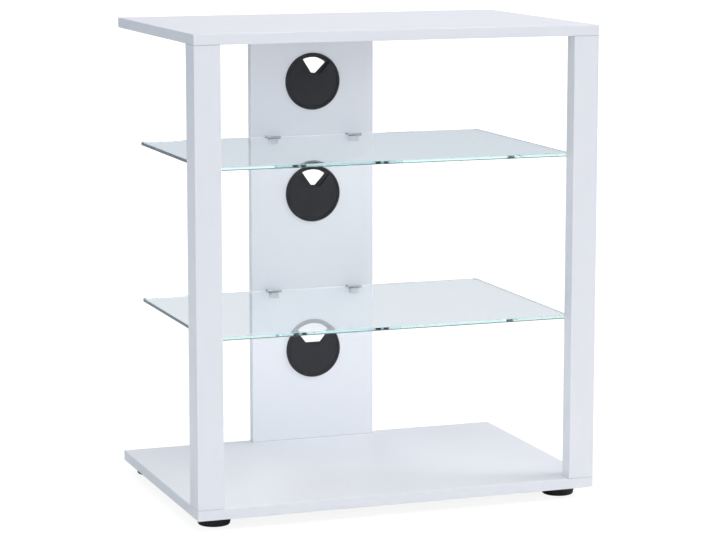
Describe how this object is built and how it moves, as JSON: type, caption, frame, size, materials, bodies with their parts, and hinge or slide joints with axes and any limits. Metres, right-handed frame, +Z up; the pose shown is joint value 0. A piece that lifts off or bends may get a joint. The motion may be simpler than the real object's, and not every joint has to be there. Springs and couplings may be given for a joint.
{
  "type": "tv stand",
  "caption": "White open rack with a top and a base board on front posts and a narrow rear panel, clear glass shelves, round cable grommets with turning shutters, and low round feet.",
  "frame": {"origin": "centre of the footprint at floor level", "axes": "+X to the right seen from the front, +Y to the back, +Z up"},
  "size_m": [0.6, 0.4, 0.69],
  "materials": {
    "white_board": "smooth white foil on board, satin",
    "clear_glass": "clear glass with polished edges",
    "black_plastic": "moulded, satin",
    "foot_plastic": "moulded, semi-matt",
    "plated_metal": "bright plated die casting",
    "zinc_steel": "zinc plated",
    "soft_pad": "soft clear pad",
    "beech": "plain beech"
  },
  "bodies": {
    "stand": {"top_panel": "white_board", "base_panel": "white_board", "left_post": "white_board", "right_post": "white_board", "rear_panel": "white_board", "upper_glass_shelf": "clear_glass", "lower_glass_shelf": "clear_glass", "top_grommet_ring": "black_plastic", "top_grommet_cap": "black_plastic", "middle_grommet_ring": "black_plastic", "middle_grommet_cap": "black_plastic", "bottom_grommet_ring": "black_plastic", "bottom_grommet_cap": "black_plastic", "upper_left_glass_clamp": "plated_metal", "upper_right_glass_clamp": "plated_metal", "lower_left_glass_clamp": "plated_metal", "lower_right_glass_clamp": "plated_metal", "front_left_foot": "foot_plastic", "front_right_foot": "foot_plastic", "rear_left_foot": "foot_plastic", "rear_right_foot": "foot_plastic", "clamp_screws": "zinc_steel", "clamp_lower_pads": "soft_pad", "clamp_upper_pads": "soft_pad", "post_shelf_supports": "plated_metal", "post_shelf_pads": "soft_pad", "foot_screws": "zinc_steel", "base_screws": "zinc_steel", "dowels": "beech", "cam_bolts": "zinc_steel", "cam_discs": "zinc_steel"},
    "top_shutter": {"top_grommet_shutter": "black_plastic"},
    "middle_shutter": {"middle_grommet_shutter": "black_plastic"},
    "bottom_shutter": {"bottom_grommet_shutter": "black_plastic"}
  },
  "joints": [
    {"name": "top_shutter_turn", "type": "hinge", "parent": "stand", "child": "top_shutter", "pos_m": [0, 0.185, 0.5875], "axis": [0, 1, 0], "continuous": true},
    {"name": "middle_shutter_turn", "type": "hinge", "parent": "stand", "child": "middle_shutter", "pos_m": [0, 0.185, 0.415], "axis": [0, 1, 0], "continuous": true},
    {"name": "bottom_shutter_turn", "type": "hinge", "parent": "stand", "child": "bottom_shutter", "pos_m": [0, 0.185, 0.1715], "axis": [0, 1, 0], "continuous": true}
  ]
}
